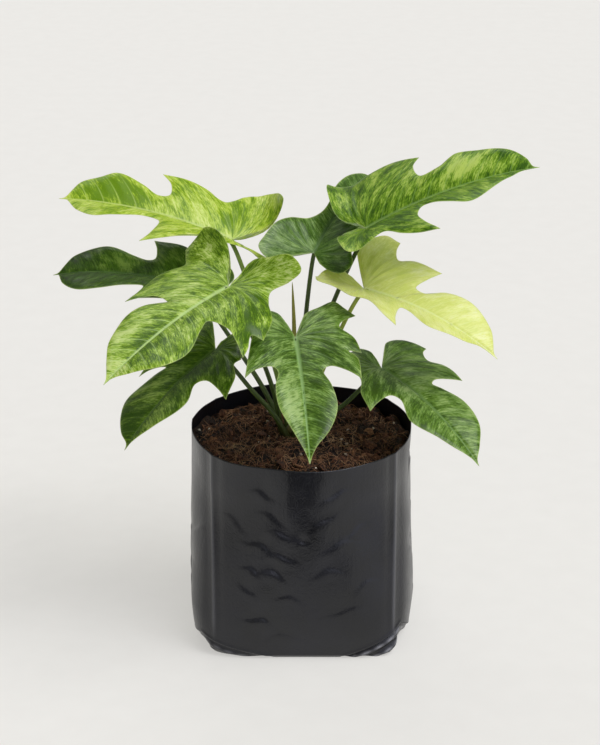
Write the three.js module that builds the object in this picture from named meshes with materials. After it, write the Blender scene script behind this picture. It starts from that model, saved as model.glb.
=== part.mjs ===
// A potted philodendron: nine deeply lobed leaves on slender petioles and one rolled new leaf,
// rising from a short stem base in coir, in a black polythene grow bag.
// Millimetres, +Z up. The origin is on the standing surface under the middle of the bag.
import * as THREE from "three";

const DEG = Math.PI / 180;

// ---- driving dimensions ----
const BAG_HEIGHT = 135;
const BAG_HALF = 72.5; // half width of the round mouth
const BAG_BELLY = 73.5; // half width where the fill presses the film outwards
const BAG_FOOT = 70; // half width of the squared foot
const BAG_WALL = 1;
const MOUTH_POWER = 2; // superellipse power: 2 is round
const FOOT_POWER = 5; // 5 is nearly square, from the folded bottom corners
const SOIL_EDGE = 122; // height of the fill against the film
const SOIL_MOUND = 5; // rise of the fill towards the plant
const CROWN = new THREE.Vector3(-5, 3, 0); // where the plant stands in the bag
const CROWN_RADIUS = 6;
const CROWN_TOP = 136;
const CROWN_FOOT = 98;
const PETIOLE_RING = 8.2; // petiole feet stand on this circle round the stem base
const PETIOLE_RADIUS = 1.6;
const BLADE_THICKNESS = 0.8;
const GAP = 0.3; // clearance kept between pieces that touch
const VEIN_SLOPE = 1.2; // how far a side vein runs forwards for each mm outwards
const RINGS = [0, 0.4, 0.75, 1]; // stations from the midrib to the margin

// ---- leaves ----
// base: where the petiole meets the blade. heading and pitch: the straight line from base to tip.
// roll lifts the left side. droop bends the midrib down from base to tip. fold lifts the left and
// right half from the midrib and cup bends them over again. rear bends the basal lobes down (or up,
// when negative; a pair bends the left and right lobe apart) and twist turns the tip.
// left and right: each half's margin from the sinus at the petiole, round the basal lobe and the
// side lobe, to the tip, as [forwards, outwards] in the flattened blade. A third entry of 1 is
// a pointed corner. foot: bearing of the petiole's foot round the stem base. bow: how far the
// petiole's middle stands off a straight line.
const leaves = {
  front_left: {
    base: [-46, -16, 237], heading: -127, pitch: -14, roll: -7, length: 119, droop: 22,
    fold: [14, 14], cup: [33, 26], rear: -86, twist: 6, foot: -160, bow: [4, 0, 3],
    left: [[-8, -2], [-24, 0], [-32, 14], [-38, 27], [-31, 37], [-22, 33], [-11, 26], [-1, 32],
      [10, 44], [27, 52, 1], [31, 45], [42, 51], [51, 54, 1], [44, 42], [40, 33], [43, 19],
      [53, 22], [74, 29], [94, 24], [108, 9]],
    right: [[-9, 8], [-20, 14], [-31, 21], [-36, 31], [-34, 43], [-26, 49], [-18, 55, 1], [-12, 48],
      [-7, 43], [4, 46], [22, 48], [51, 43, 1], [43, 36], [38, 28], [41, 16], [51, 25], [66, 29], [88, 22],
      [104, 11]],
  },
  front_centre: {
    base: [-4, -30, 208], heading: -83, pitch: -30, roll: -3, length: 97, droop: 26,
    fold: [16, 16], cup: [14, 14], rear: 5, twist: -4, foot: -85, bow: [0, -6, 4],
    left: [[-9, 4], [-24, 9], [-29, 19], [-33, 29], [-26, 35], [-17, 41, 1], [-10, 31], [-4, 29],
      [7, 37], [19, 40, 1], [17, 32], [23, 37], [41, 37, 1], [34, 29], [29, 19], [32, 14],
      [45, 18], [60, 20], [76, 14], [87, 5]],
    right: [[-13, 3], [-25, 8], [-26, 16], [-13, 23], [2, 28], [19, 32], [42, 37, 1], [34, 29],
      [30, 18], [34, 15], [46, 18], [60, 17], [80, 8]],
  },
  right_low: {
    base: [52, 0, 175], heading: -49, pitch: -23, roll: 1, length: 98, droop: 33,
    fold: [14, 14], cup: [23, 23], rear: -2, twist: 3, foot: -45, bow: [1, 0, -1],
    left: [[-12, 13], [-22, 25], [-22, 36], [-16, 42], [-5, 46, 1], [0, 38], [10, 33], [19, 38],
      [39, 36, 1], [35, 28], [31, 18], [33, 14], [40, 17], [54, 23], [75, 18], [87, 9]],
    right: [[-10, -5], [-21, -8], [-29, -5], [-27, 5], [-10, 17], [6, 24], [17, 34], [34, 41, 1],
      [31, 32], [30, 20], [36, 17], [53, 23], [73, 15], [87, 6]],
  },
  right_pale: {
    base: [40, 5, 228], heading: -26, pitch: -20, roll: 7, length: 98, droop: 33,
    fold: [21, 21], cup: [12, 12], rear: -9, twist: 2, foot: -5, bow: [-4, 7, 2],
    left: [[-5, 8], [-12, 19], [-19, 31], [-19, 42], [-15, 54], [-10, 59], [2, 54, 1], [4, 43],
      [10, 33], [19, 36], [38, 36, 1], [33, 25], [30, 14], [37, 13], [47, 21], [65, 23], [84, 15]],
    right: [[-12, -8], [-24, -11], [-31, -6], [-33, 4, 1], [-27, 14], [-14, 14], [2, 22], [11, 23],
      [27, 36], [39, 42, 1], [34, 30], [32, 14], [38, 14], [55, 24], [73, 14], [86, 4]],
  },
  top_right: {
    base: [42, 25, 262], heading: -4, pitch: 21, roll: 12, length: 117, droop: 24,
    fold: [24, 22], cup: [21, 18], rear: -93, twist: 5, foot: 35, bow: [-6, 11, 4],
    left: [[-6, 9], [-14, 12], [-22, 19], [-28, 32], [-30, 45], [-25, 57], [-12, 58], [0, 52], [12, 54],
      [26, 56], [46, 41, 1], [41, 35], [44, 21], [58, 23], [69, 31], [84, 26], [103, 18], [111, 9]],
    right: [[-5, -4], [-16, -1], [-22, 18], [-17, 34], [-6, 36], [4, 34], [14, 30], [25, 41],
      [37, 50], [49, 55, 1], [41, 40], [37, 24], [41, 14], [59, 26], [71, 32], [88, 21], [105, 5]],
  },
  top_left: {
    base: [-46, 53, 245], heading: 179, pitch: 13, roll: -12, length: 117, droop: 25,
    fold: [18, 21], cup: [14, 8], rear: [-5, -81], twist: -3, foot: 118, bow: [3, 0, 2],
    left: [[-5, 1], [-12, 1], [-19, 1], [-26, 3], [-29, 9], [-26, 14], [-21, 13], [-17, 8],
      [-11, 5], [-5, 7], [2, 10], [12, 12], [23, 16], [40, 36], [57, 48, 1], [52, 35], [50, 13],
      [62, 11], [79, 22], [90, 27], [102, 19]],
    right: [[-3, 3], [-10, 9], [-20, 13], [-28, 17], [-34, 20], [-42, 22], [-49, 24], [-46, 33],
      [-36, 43], [-24, 48], [-13, 46], [0, 42], [7, 34], [12, 30], [18, 31], [24, 34], [38, 36],
      [56, 36, 1], [49, 28], [48, 18], [55, 16], [66, 22], [84, 27], [94, 22],
      [106, 16]],
  },
  left_low: {
    base: [-55, -15, 194], heading: -136, pitch: -30, roll: 3, length: 90, droop: 25,
    fold: [10, 16], cup: [19, 33], rear: -7, twist: 2, foot: -125, bow: [1, 0, 2],
    left: [[-8, -3], [-18, -1], [-16, 9], [-7, 18], [1, 26, 1], [6, 25], [16, 36], [34, 45, 1],
      [30, 34], [28, 21], [33, 16], [46, 21], [60, 18], [77, 7]],
    right: [[-9, 10], [-21, 25], [-27, 40], [-18, 43], [-8, 35], [7, 23], [16, 27], [27, 37],
      [40, 36, 1], [34, 29], [29, 17], [38, 21], [57, 27], [72, 19], [82, 10]],
  },
  left_dark: {
    base: [-69, 20, 223], heading: 172, pitch: 1, roll: -15, length: 97, droop: 31,
    fold: [14, 14], cup: [12, 12], rear: 5, twist: -5, foot: 160, bow: [3, 0, 3],
    left: [[-8, 4], [-19, 10], [-22, 20], [-13, 26], [2, 22], [17, 26], [36, 30, 1], [33, 22],
      [32, 13], [44, 15], [58, 23], [71, 24], [86, 14]],
    right: [[-7, 4], [-17, 9], [-21, 20], [-14, 30], [2, 27], [16, 34], [37, 35, 1], [33, 26],
      [32, 17], [36, 15], [46, 17], [67, 23], [86, 16]],
  },
  back_centre: {
    base: [8, 38, 241], heading: 64, pitch: 14, roll: 4, length: 104, droop: 34,
    fold: [37, 23], cup: [0, 3], rear: -7, twist: 2, foot: 65, bow: [-2, 2, 1],
    left: [[-8, 9], [-18, 18], [-24, 26], [-20, 34], [-9, 34], [3, 32], [13, 25], [22, 14],
      [33, 9], [47, 9], [62, 12], [80, 11], [95, 6]],
    right: [[-10, 9], [-17, 20], [-20, 31], [-13, 36], [0, 31], [12, 31], [24, 26], [32, 13],
      [44, 11], [60, 19], [78, 17], [94, 9]],
  },
};
const GREENS = {
  front_left: 0x86a93a, front_centre: 0x466f2c, right_low: 0x537f36, right_pale: 0xc6d26b,
  top_right: 0x5f9424, top_left: 0x9ab93f, left_low: 0x547326, left_dark: 0x3a5719,
  back_centre: 0x4c6c3a,
};

// ---- geometry helpers ----
// One closed mesh from shared corners and corner numbers.
function closedMesh(corners, faces) {
  const geometry = new THREE.BufferGeometry();
  geometry.setAttribute("position", new THREE.Float32BufferAttribute(corners.flat(), 3));
  geometry.setIndex(faces.flat());
  geometry.computeVertexNormals();
  return geometry;
}

// A solid swept through closed rings of equal count, from a first pole to a last pole.
function ringSolid(first, rings, last) {
  const n = rings[0].length;
  const corners = [first, ...rings.flat(), last];
  const faces = [];
  const end = corners.length - 1;
  for (let j = 0; j < n; j++) {
    const k = (j + 1) % n;
    faces.push([0, 1 + k, 1 + j]);
    for (let i = 0; i + 1 < rings.length; i++) {
      const a = 1 + i * n, b = a + n;
      faces.push([a + j, a + k, b + k], [a + j, b + k, b + j]);
    }
    const a = 1 + (rings.length - 1) * n;
    faces.push([a + j, a + k, end]);
  }
  return closedMesh(corners, faces);
}

// The blade as a bent sheet: sheet(u, v) is the point u mm along the midrib and v mm to its left.
function bladeSheet(leaf) {
  const heading = leaf.heading * DEG, rise = (leaf.pitch + leaf.droop / 2) * DEG;
  const ahead = new THREE.Vector3(
    Math.cos(heading) * Math.cos(rise), Math.sin(heading) * Math.cos(rise), Math.sin(rise));
  const level = new THREE.Vector3(0, 0, 1).cross(ahead).normalize();
  const left = level.clone().multiplyScalar(Math.cos(leaf.roll * DEG))
    .addScaledVector(new THREE.Vector3().crossVectors(ahead, level), Math.sin(leaf.roll * DEG));
  const up = new THREE.Vector3().crossVectors(ahead, left);
  const base = new THREE.Vector3(...leaf.base);
  const rear = Array.isArray(leaf.rear) ? leaf.rear : [leaf.rear, leaf.rear];
  return (u, v) => {
    const half = v < 0 ? 1 : 0;
    const bend = (u < 0 ? rear[half] / 40 : leaf.droop / leaf.length) * DEG || 1e-6;
    const a = bend * u;
    const point = base.clone().addScaledVector(ahead, Math.sin(a) / bend)
      .addScaledVector(up, -(1 - Math.cos(a)) / bend);
    const along = ahead.clone().multiplyScalar(Math.cos(a)).addScaledVector(up, -Math.sin(a));
    const turn = u > 0 ? (leaf.twist * DEG * u) / leaf.length : 0;
    const side = left.clone().applyAxisAngle(along, turn);
    const normal = new THREE.Vector3().crossVectors(along, side);
    const w = Math.abs(v), f = leaf.fold[half] * DEG, c = (leaf.cup[half] / 35) * DEG || 1e-6;
    return point
      .addScaledVector(side, (Math.sign(v) * (Math.sin(f) - Math.sin(f - c * w))) / c)
      .addScaledVector(normal, (Math.cos(f - c * w) - Math.cos(f)) / c);
  };
}

// Points along one half's margin: smooth runs between pointed corners, one step about every `step` mm.
function marginPoints(marks, length, step) {
  const all = [...marks, [length, 0, 1]];
  const out = [];
  let run = [];
  for (const mark of all) {
    run.push(new THREE.Vector3(mark[0], mark[1], 0));
    if (!mark[2]) continue;
    const curve = new THREE.CatmullRomCurve3(run, false, "centripetal");
    const spans = run.length - 1;
    for (let i = 0; i < spans; i++) {
      const n = Math.max(1, Math.round(run[i].distanceTo(run[i + 1]) / step));
      for (let k = 0; k < n; k++) out.push(curve.getPoint((i + k / n) / spans));
    }
    run = [run[spans]];
  }
  out.push(run[0]);
  return out;
}

// One blade: every margin point is joined to the midrib by a side vein, and both faces follow the
// sheet, half the thickness above and below it.
function blade(leaf, step = 11) {
  const sheet = bladeSheet(leaf);
  const flat = [[0, 0]];
  const skin = [];
  const edges = { left: [], right: [] };
  const spine = new Map([[0, 0]]);
  const add = (u, v) => flat.push([u, v]) - 1;
  const spineAt = (u) => {
    const key = Math.round(u * 100) / 100;
    if (!spine.has(key)) spine.set(key, add(key, 0));
    return spine.get(key);
  };
  const halves = {};
  const feet = new Set([0]);
  for (const side of ["left", "right"]) {
    let foot = 0;
    halves[side] = marginPoints(leaf[side], leaf.length, step).map((p) => {
      foot = Math.max(foot, Math.min(p.x - VEIN_SLOPE * Math.abs(p.y), leaf.length));
      foot = Math.round(foot * 100) / 100;
      feet.add(foot);
      return [p.x, p.y, foot];
    });
  }
  const marks = [...feet].sort((a, b) => a - b);
  marks.forEach(spineAt);
  for (const side of ["left", "right"]) {
    const sign = side === "left" ? 1 : -1;
    const rows = halves[side].map(([x, y, foot]) => {
      if (x >= leaf.length) return RINGS.map(() => spineAt(leaf.length));
      return RINGS.map((r) => (r === 0 ? spineAt(foot)
        : add(foot + (x - foot) * r, sign * y * r)));
    });
    const tri = (a, b, c) => {
      if (a === b || b === c || a === c) return;
      skin.push(sign > 0 ? [a, b, c] : [a, c, b]);
    };
    for (let i = 0; i + 1 < rows.length; i++) {
      // the midrib side of this strip passes every foot that either half uses
      const from = halves[side][i][2], to = Math.min(halves[side][i + 1][2], leaf.length);
      const between = marks.filter((m) => m >= from && m <= to).map(spineAt);
      for (let k = 0; k + 1 < between.length; k++) tri(between[k], between[k + 1], rows[i][1]);
      tri(between[between.length - 1], rows[i + 1][1], rows[i][1]);
      for (let r = 1; r + 1 < RINGS.length; r++) {
        tri(rows[i][r], rows[i + 1][r], rows[i + 1][r + 1]);
        tri(rows[i][r], rows[i + 1][r + 1], rows[i][r + 1]);
      }
    }
    edges[side] = [...rows[0], ...rows.slice(1).map((row) => row[row.length - 1])];
  }
  const n = flat.length;
  const e = 0.5;
  const corners = [];
  for (const sign of [1, -1])
    for (const [u, v] of flat) {
      const du = sheet(u + e, v).sub(sheet(u - e, v));
      const dv = sheet(u, v + e).sub(sheet(u, v - e));
      const normal = du.cross(dv).normalize();
      const p = sheet(u, v).addScaledVector(normal, (sign * BLADE_THICKNESS) / 2);
      corners.push([p.x, p.y, p.z]);
    }
  const faces = [];
  for (const [a, b, c] of skin) faces.push([a, b, c], [a + n, c + n, b + n]);
  // the rim wall runs once round: out along the left half, back along the right
  const loop = [...edges.right, ...edges.left.slice(1, -1).reverse()];
  for (let i = 0; i < loop.length; i++) {
    const a = loop[i], b = loop[(i + 1) % loop.length];
    if (a !== b) faces.push([a, a + n, b + n], [a, b + n, b]);
  }
  return closedMesh(corners, faces);
}

// A round rod along a smooth curve.
function rod(points, radius, steps, sides = 8) {
  const outline = new THREE.Shape();
  outline.absarc(0, 0, radius, 0, 2 * Math.PI);
  return new THREE.ExtrudeGeometry(outline, {
    steps, curveSegments: sides, extrudePath: new THREE.CatmullRomCurve3(points),
  });
}

// ---- grow bag ----
const SIDES = 48;
const halfWidth = (z) => z < 30
  ? THREE.MathUtils.lerp(BAG_FOOT, BAG_BELLY, Math.sin((z / 30) * 90 * DEG))
  : THREE.MathUtils.lerp(BAG_BELLY, BAG_HALF, (z - 30) / (BAG_HEIGHT - 30));
const power = (z) => THREE.MathUtils.lerp(FOOT_POWER, MOUTH_POWER,
  THREE.MathUtils.smoothstep(z, 0, 80));
// One closed section of the bag at height z, drawn in by `inset`, centred on the axis.
function section(z, inset, height = z) {
  const half = halfWidth(z) - inset, p = power(z);
  return Array.from({ length: SIDES }, (_, j) => {
    const a = (2 * Math.PI * (j + 0.5)) / SIDES;
    const r = half / (Math.abs(Math.cos(a)) ** p + Math.abs(Math.sin(a)) ** p) ** (1 / p);
    return [r * Math.cos(a), r * Math.sin(a), height];
  });
}
const LEVELS = [0, 6, 16, 32, 55, 80, 108, BAG_HEIGHT];
function growBag() {
  const outside = [section(0, 4, 0), ...LEVELS.slice(1).map((z) => section(z, 0))];
  const inside = LEVELS.slice(1).reverse().map((z) => section(z, BAG_WALL));
  inside.push(section(0, 4 + BAG_WALL, BAG_WALL));
  return ringSolid([0, 0, 0], [...outside, ...inside], [0, 0, BAG_WALL]);
}

// ---- growing medium: fills the bag, mounded towards the plant, with a pocket for the stem base ----
const soilHeight = (x, y) => {
  const r = Math.hypot(x, y) / BAG_HALF;
  return SOIL_EDGE + SOIL_MOUND * Math.max(0, 1 - r * r);
};
function growingMedium() {
  const inset = BAG_WALL + 4 * GAP; // the film's folds keep it a little clear
  const rim = section(SOIL_EDGE, inset);
  const wall = [section(0, 4 + inset, inset), ...[6, 16, 32, 55, 80, 108].map((z) => section(z, inset)),
    rim];
  const top = [0.75, 0.5, 0.3, 0].map((t) => rim.map(([x, y], j) => {
    const a = (2 * Math.PI * (j + 0.5)) / SIDES, r = CROWN_RADIUS + GAP;
    const px = THREE.MathUtils.lerp(CROWN.x + r * Math.cos(a), x, t);
    const py = THREE.MathUtils.lerp(CROWN.y + r * Math.sin(a), y, t);
    return [px, py, soilHeight(px, py)];
  }));
  const pocket = top[top.length - 1].map(([x, y]) => [x, y, CROWN_FOOT - GAP]);
  return ringSolid([0, 0, inset], [...wall, ...top, pocket],
    [CROWN.x, CROWN.y, CROWN_FOOT - GAP]);
}

// ---- stem base: a short stub, domed on top ----
function stemBase() {
  const profile = [[0, CROWN_FOOT], [CROWN_RADIUS * 0.8, CROWN_FOOT], [CROWN_RADIUS, CROWN_FOOT + 6],
    [CROWN_RADIUS, CROWN_TOP - 8], [CROWN_RADIUS * 0.72, CROWN_TOP - 2], [0, CROWN_TOP]];
  const shape = new THREE.LatheGeometry(profile.map(([r, z]) => new THREE.Vector2(r, z)), 20);
  return shape.rotateX(90 * DEG).translate(CROWN.x, CROWN.y, 0);
}

// ---- petioles: from beside the stem base up to the underside of each blade ----
function petiole(leaf) {
  const a = leaf.foot * DEG;
  const foot = new THREE.Vector3(
    CROWN.x + PETIOLE_RING * Math.cos(a), CROWN.y + PETIOLE_RING * Math.sin(a), 0);
  foot.z = soilHeight(foot.x, foot.y) + 1.6;
  const sheet = bladeSheet(leaf);
  const normal = sheet(1, 0).sub(sheet(0, 0)).cross(sheet(0, 1).sub(sheet(0, -1))).normalize();
  const top = new THREE.Vector3(...leaf.base).addScaledVector(normal, -2.4);
  const middle = foot.clone().lerp(top, 0.5).add(new THREE.Vector3(...leaf.bow));
  const low = foot.clone().lerp(top, 0.2).addScaledVector(new THREE.Vector3(...leaf.bow), 0.7);
  low.z += 2;
  return rod([foot, low, middle, top], PETIOLE_RADIUS, 9);
}

// ---- rolled new leaf: a slim spindle rising from the stem base, drawn out to a point ----
const SPEAR_TIP = new THREE.Vector3(-6, 18, 228);
function newLeaf() {
  const foot = new THREE.Vector3(CROWN.x, CROWN.y, CROWN_TOP + GAP);
  const lean = SPEAR_TIP.clone().sub(foot);
  const height = lean.length();
  const profile = [[0, 0], [1.6, 0.2], [2.2, height * 0.3], [2.4, height * 0.55],
    [1.7, height * 0.8], [0.7, height * 0.95], [0, height]];
  const spindle = new THREE.LatheGeometry(profile.map(([r, z]) => new THREE.Vector2(r, z)), 12);
  const turn = new THREE.Quaternion().setFromUnitVectors(new THREE.Vector3(0, 1, 0), lean.normalize());
  return spindle.applyQuaternion(turn).translate(foot.x, foot.y, foot.z);
}

// ---- the plant in its bag ----
const plant = new THREE.Group();
function piece(name, geometry, color, roughness) {
  const material = new THREE.MeshStandardMaterial({ color, roughness, metalness: 0 });
  const mesh = new THREE.Mesh(geometry, material);
  mesh.name = name;
  plant.add(mesh);
}
piece("grow_bag", growBag(), 0x2b2b2d, 0.4);
piece("growing_medium", growingMedium(), 0x43241a, 0.95);
piece("stem_base", stemBase(), 0x5a5a2c, 0.7);
piece("new_leaf", newLeaf(), 0x95803f, 0.5);
for (const [name, leaf] of Object.entries(leaves)) {
  piece(`petiole_${name}`, petiole(leaf), name === "right_pale" ? 0x9aa83a : 0x3a4720, 0.5);
  piece(`leaf_${name}`, blade(leaf), GREENS[name], 0.4);
}

export default plant;
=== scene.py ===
# %% [markdown]
# # A potted philodendron
# A young variegated philodendron: nine lobed leaves on thin stalks and one rolled new leaf, growing
# in coir in a black polythene nursery bag. This lesson builds it piece by piece.
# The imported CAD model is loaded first, as a fixed frame. It says where each piece goes, so nothing
# has to be fitted by eye. Lengths in this lesson are millimetres, and go to metres when a mesh is made.

# %% Load the frame
import math

import bmesh
import bpy
import numpy as np
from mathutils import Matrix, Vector


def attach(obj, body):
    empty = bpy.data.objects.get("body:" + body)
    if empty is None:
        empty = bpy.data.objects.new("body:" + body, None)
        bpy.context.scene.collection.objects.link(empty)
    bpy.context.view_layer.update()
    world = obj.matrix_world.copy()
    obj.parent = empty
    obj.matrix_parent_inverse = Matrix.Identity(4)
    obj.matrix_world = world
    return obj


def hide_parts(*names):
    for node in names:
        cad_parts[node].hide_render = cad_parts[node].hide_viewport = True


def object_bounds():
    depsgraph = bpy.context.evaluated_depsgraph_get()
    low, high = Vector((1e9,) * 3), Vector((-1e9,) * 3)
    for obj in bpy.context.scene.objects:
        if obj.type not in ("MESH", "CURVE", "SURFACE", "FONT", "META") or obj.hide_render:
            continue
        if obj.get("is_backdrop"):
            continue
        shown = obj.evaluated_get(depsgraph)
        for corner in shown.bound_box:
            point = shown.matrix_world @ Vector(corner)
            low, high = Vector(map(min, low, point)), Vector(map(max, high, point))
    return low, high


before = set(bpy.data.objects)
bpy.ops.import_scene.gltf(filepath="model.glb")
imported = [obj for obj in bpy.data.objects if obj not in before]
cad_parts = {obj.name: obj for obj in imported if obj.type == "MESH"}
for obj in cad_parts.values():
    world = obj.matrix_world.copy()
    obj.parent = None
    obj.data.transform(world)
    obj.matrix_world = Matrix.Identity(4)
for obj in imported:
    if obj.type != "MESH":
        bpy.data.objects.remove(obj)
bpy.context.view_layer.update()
scene = bpy.context.scene
MM = 0.001
print("pieces to stand in for:", len(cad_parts))

# %% [markdown]
# ## Small helpers
# A finish is a small tree of nodes. One function that adds a node, sets it and links it keeps every
# material short to write. Colours are picked as sRGB hex values, the way a paint chart gives them,
# and one function turns them to the linear light that the renderer adds up.

# %% Helpers for colour, nodes and meshes
def linear(code):
    """An sRGB hex colour such as '#86a93a', as linear red, green, blue and alpha."""
    parts = [int(code[i:i + 2], 16) / 255 for i in (1, 3, 5)]
    return (*[p / 12.92 if p <= 0.04045 else ((p + 0.055) / 1.055) ** 2.4 for p in parts], 1.0)


def add(tree, kind, inputs=None, stops=None, **settings):
    """Adds one shader node. Each input is a value, a hex colour, or a socket or node to link from."""
    made = tree.nodes.new("ShaderNode" + kind)
    for name, value in settings.items():
        setattr(made, name, value)
    for socket, value in (inputs or {}).items():
        if isinstance(value, bpy.types.Node):
            value = next(output for output in value.outputs if output.enabled)
        if isinstance(value, bpy.types.NodeSocket):
            tree.links.new(value, made.inputs[socket])
        else:
            made.inputs[socket].default_value = linear(value) if isinstance(value, str) else value
    for i, (place, code) in enumerate(stops or []):
        ramp = made.color_ramp.elements
        stop = ramp[i] if i < 2 else ramp.new(place)
        stop.position, stop.color = place, linear(code)
    return made


def new_material(name):
    """An empty material and its node tree."""
    made = bpy.data.materials.new(name)
    made.use_nodes = True
    made.node_tree.nodes.clear()
    return made, made.node_tree


def new_piece(name, points_mm, faces, material, cad_nodes, smooth=True, marks=None):
    """A mesh from points in millimetres, riding the plant's one body in place of its CAD nodes.
    marks are numbers or vectors kept with each point, which the material reads by name."""
    mesh = bpy.data.meshes.new(name)
    points = np.asarray(points_mm, float) * MM
    mesh.from_pydata([tuple(p) for p in points], [], faces)
    for mark, values in (marks or {}).items():
        values = np.asarray(values, np.float32)
        kind, field = ("FLOAT", "value") if values.ndim == 1 else ("FLOAT_VECTOR", "vector")
        mesh.attributes.new(mark, kind, "POINT").data.foreach_set(field, values.ravel())
    mesh.polygons.foreach_set("use_smooth", [smooth] * len(mesh.polygons))
    mesh.materials.append(material)
    mesh.update()
    piece = bpy.data.objects.new(name, mesh)
    scene.collection.objects.link(piece)
    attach(piece, "root")
    if cad_nodes:
        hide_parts(*cad_nodes)
    print(f"{name}: {len(points)} points, {len(faces)} faces")


def tube_faces(rings, around, downwards=False):
    """Faces of a closed tube: `rings` rings of `around` points, then its first and last centre points.
    Where the rings run downwards, the faces turn the other way round, so that they still face out."""
    faces = [[i * around + k, i * around + (k + 1) % around, (i + 1) * around + (k + 1) % around,
              (i + 1) * around + k] for i in range(rings - 1) for k in range(around)]
    first, end = rings * around, (rings - 1) * around
    faces += [[first, (k + 1) % around, k] for k in range(around)]
    faces += [[first + 1, end + k, end + (k + 1) % around] for k in range(around)]
    return [[face[0], *face[:0:-1]] for face in faces] if downwards else faces


def smoothstep(low, high, x):
    """0 below low, 1 above high, and a smooth rise between them."""
    t = np.clip((x - low) / (high - low), 0, 1)
    return t * t * (3 - 2 * t)


def catmull(points, count_per_span):
    """A smooth curve through points, centripetal so that it never loops between close ones."""
    p = np.asarray(points, float)
    p = np.vstack([2 * p[0] - p[1], p, 2 * p[-1] - p[-2]])
    out = []
    for i in range(1, len(p) - 2):
        n = count_per_span[i - 1] if hasattr(count_per_span, "__len__") else count_per_span
        a, b, c, d = p[i - 1:i + 3]
        ab, bc, cd = (max(np.linalg.norm(q - r) ** 0.5, 1e-4) for q, r in ((b, a), (c, b), (d, c)))
        slope_b = ((b - a) / ab - (c - a) / (ab + bc) + (c - b) / bc) * bc
        slope_c = ((c - b) / bc - (d - b) / (bc + cd) + (d - c) / cd) * bc
        for t in np.arange(n) / n:
            t2, t3 = t * t, t * t * t
            out.append((2 * t3 - 3 * t2 + 1) * b + (t3 - 2 * t2 + t) * slope_b
                       + (3 * t2 - 2 * t3) * c + (t3 - t2) * slope_c)
    out.append(p[-2])
    return np.array(out)


print("half bright sRGB grey in linear light:", round(linear("#808080")[0], 3))

# %% [markdown]
# ## Camera, floor and light
# The plant stands on a pale glowing table top, as in a catalogue studio. The camera looks down on it at
# 22 degrees with a long lens, so that the bag's sides stay nearly upright. A very large soft lamp high on
# the right throws a wide faint shadow to the left. Area lamps would light the floor unevenly, so each
# soft source is a sun lamp with a wide angle, and the table's own glow keeps the shadows light.

# %% Camera
LENS_MM, SENSOR_MM = 96.64, 36.0  # the sensor's 36 mm lies along the long side of the frame
TARGET = Vector((-0.001, 0.0, 0.172))
DISTANCE, ELEVATION = 1.3, math.radians(22.3)
camera = bpy.data.objects.new("camera", bpy.data.cameras.new("camera"))
camera.data.lens, camera.data.sensor_width = LENS_MM, SENSOR_MM
camera.location = TARGET + DISTANCE * Vector((0, -math.cos(ELEVATION), math.sin(ELEVATION)))
camera.rotation_euler = (TARGET - camera.location).to_track_quat("-Z", "Y").to_euler()
scene.collection.objects.link(camera)
scene.camera = camera
print("camera at", [round(c, 3) for c in camera.location])

# %% Floor and card
FLOOR_HALF = 9.0  # metres
CARD_RISE = 0.002  # metres that the card lies over the floor


def speckled(name, speck, dark, light, finish):
    """A matt studio surface, mottled by a fine noise. finish is the rest of its shader's settings."""
    made, tree = new_material(name)
    noise = add(tree, "TexNoise", {"Scale": speck, "Detail": 2.0})
    tone = add(tree, "ValToRGB", {"Fac": noise}, stops=[(0.3, dark), (0.7, light)])
    shade = add(tree, "BsdfPrincipled", {"Base Color": tone, "Specular IOR Level": 0.0, **finish})
    add(tree, "OutputMaterial", {"Surface": shade})
    return made


def stage_sheet(name, corners, height, material):
    """A flat sheet that belongs to the studio, with its corners in metres."""
    mesh = bpy.data.meshes.new(name)
    mesh.from_pydata([(x, y, height) for x, y in corners], [], [(0, 1, 2, 3)])
    mesh.materials.append(material)
    sheet = bpy.data.objects.new(name, mesh)
    scene.collection.objects.link(sheet)
    sheet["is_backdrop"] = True
    return sheet


acrylic = speckled("matt_acrylic_light_table", 900.0, "#9d9c99", "#a09f9c", {
    "Roughness": 0.95, "Emission Color": "#f1efea", "Emission Strength": 0.545})
stage_sheet("floor", [(x * FLOOR_HALF, y * FLOOR_HALF) for x, y in ((-1, -1), (1, -1), (1, 1), (-1, 1))],
            0.0, acrylic)
# the black card in front is seen only by reflections: it gives the film's front its dark upper part
felt = speckled("black_felt_card", 400.0, "#050505", "#0c0c0c", {"Roughness": 1.0})
flag = stage_sheet("flag", [(-1.2, -3.0), (1.2, -3.0), (0.07, -0.24), (-0.07, -0.24)], CARD_RISE, felt)
flag.visible_camera = flag.visible_diffuse = flag.visible_shadow = flag.visible_transmission = False
print("floor", 2 * FLOOR_HALF, "m wide")

# %% Surround and lamps
world = bpy.data.worlds.new("pale_studio")
scene.world = world
world.use_nodes = True
surround = world.node_tree.nodes["Background"].inputs
surround["Color"].default_value, surround["Strength"].default_value = linear("#fffcf8"), 0.27
LAMPS = {  # name: (strength, width of the soft source in degrees, direction that the light travels, colour)
    "key_right": (1.6, 42, (-0.52, 0.15, -1.0), "#ffffff"),
    "key_core": (0.4, 14, (-0.56, 0.3, -1.0), "#ffffff"),
    "fill_front": (0.9, 70, (-0.6, 0.8, -0.55), "#e0e6ff"),
    "back_sheen": (0.45, 34, (0.15, -0.6, -0.85), "#ffffff"),
}
for name, (strength, width, travel, tint) in LAMPS.items():
    lamp = bpy.data.objects.new(name, bpy.data.lights.new(name, "SUN"))
    lamp.data.energy, lamp.data.angle = strength, math.radians(width)
    lamp.data.color = linear(tint)[:3]
    lamp.rotation_euler = Vector(travel).to_track_quat("-Z", "Y").to_euler()
    scene.collection.objects.link(lamp)
scene.view_settings.view_transform = "Standard"
print("lamps:", ", ".join(LAMPS))

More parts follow.
